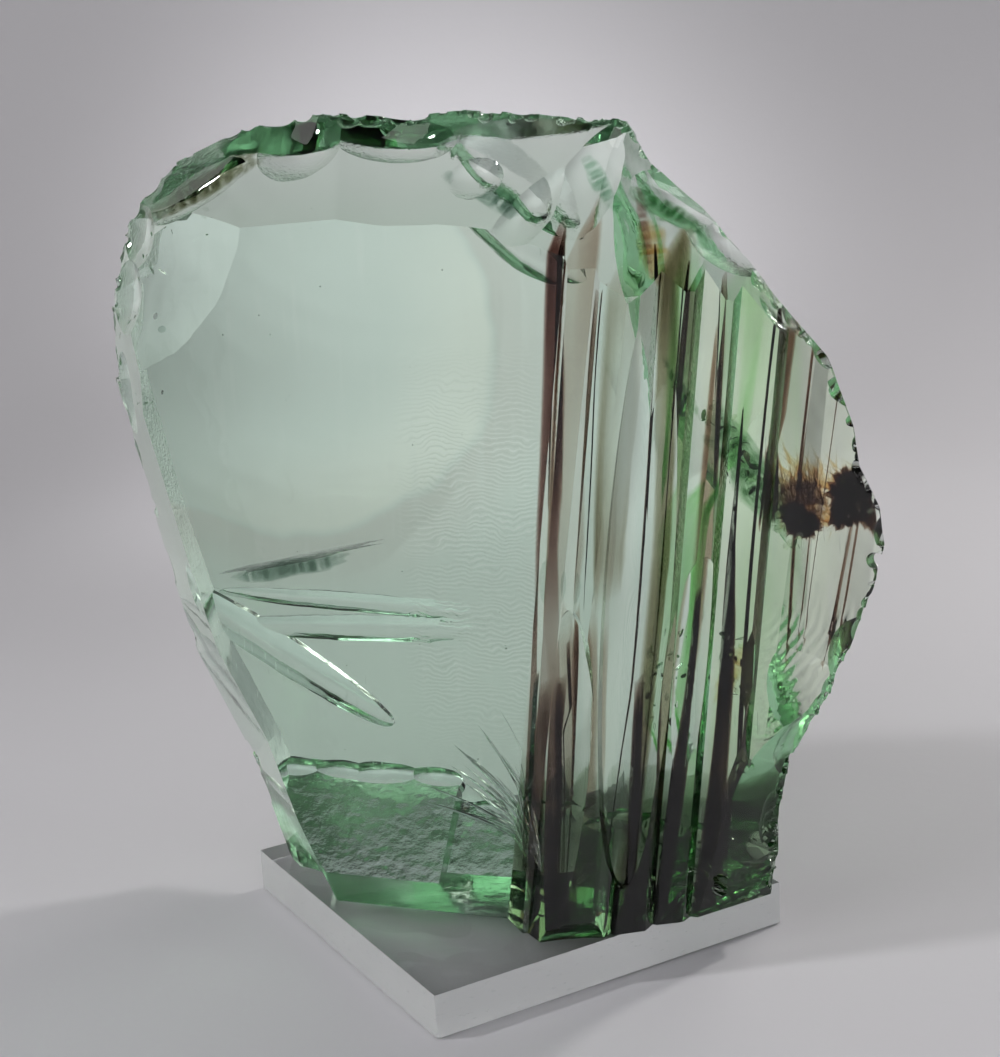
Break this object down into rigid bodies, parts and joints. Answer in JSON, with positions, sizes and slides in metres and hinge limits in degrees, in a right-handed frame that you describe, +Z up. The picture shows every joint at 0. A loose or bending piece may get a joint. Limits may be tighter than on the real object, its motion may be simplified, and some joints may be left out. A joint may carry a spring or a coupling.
{
  "type": "andara crystal on a clear stand",
  "caption": "Broken lump of clear green glass with brown and olive streaks, flat-faced and stepped, resting upright on a square clear plate.",
  "frame": {"origin": "centre of the underside of the square stand", "axes": "+Z up; the broad flat face of the stone looks along -Y, turned 20 degrees towards -X; +X is to the right of a viewer of that face"},
  "size_m": [0.1682, 0.1226, 0.1868],
  "materials": {
    "crystal_glass": "clear pale green glass with glossy fracture faces and brown, olive and green streaks",
    "clear_acrylic": "clear cast acrylic, polished faces and slightly cloudy sawn edges"
  },
  "bodies": {
    "root": {"crystal": "crystal_glass", "stand": "clear_acrylic"}
  },
  "joints": []
}
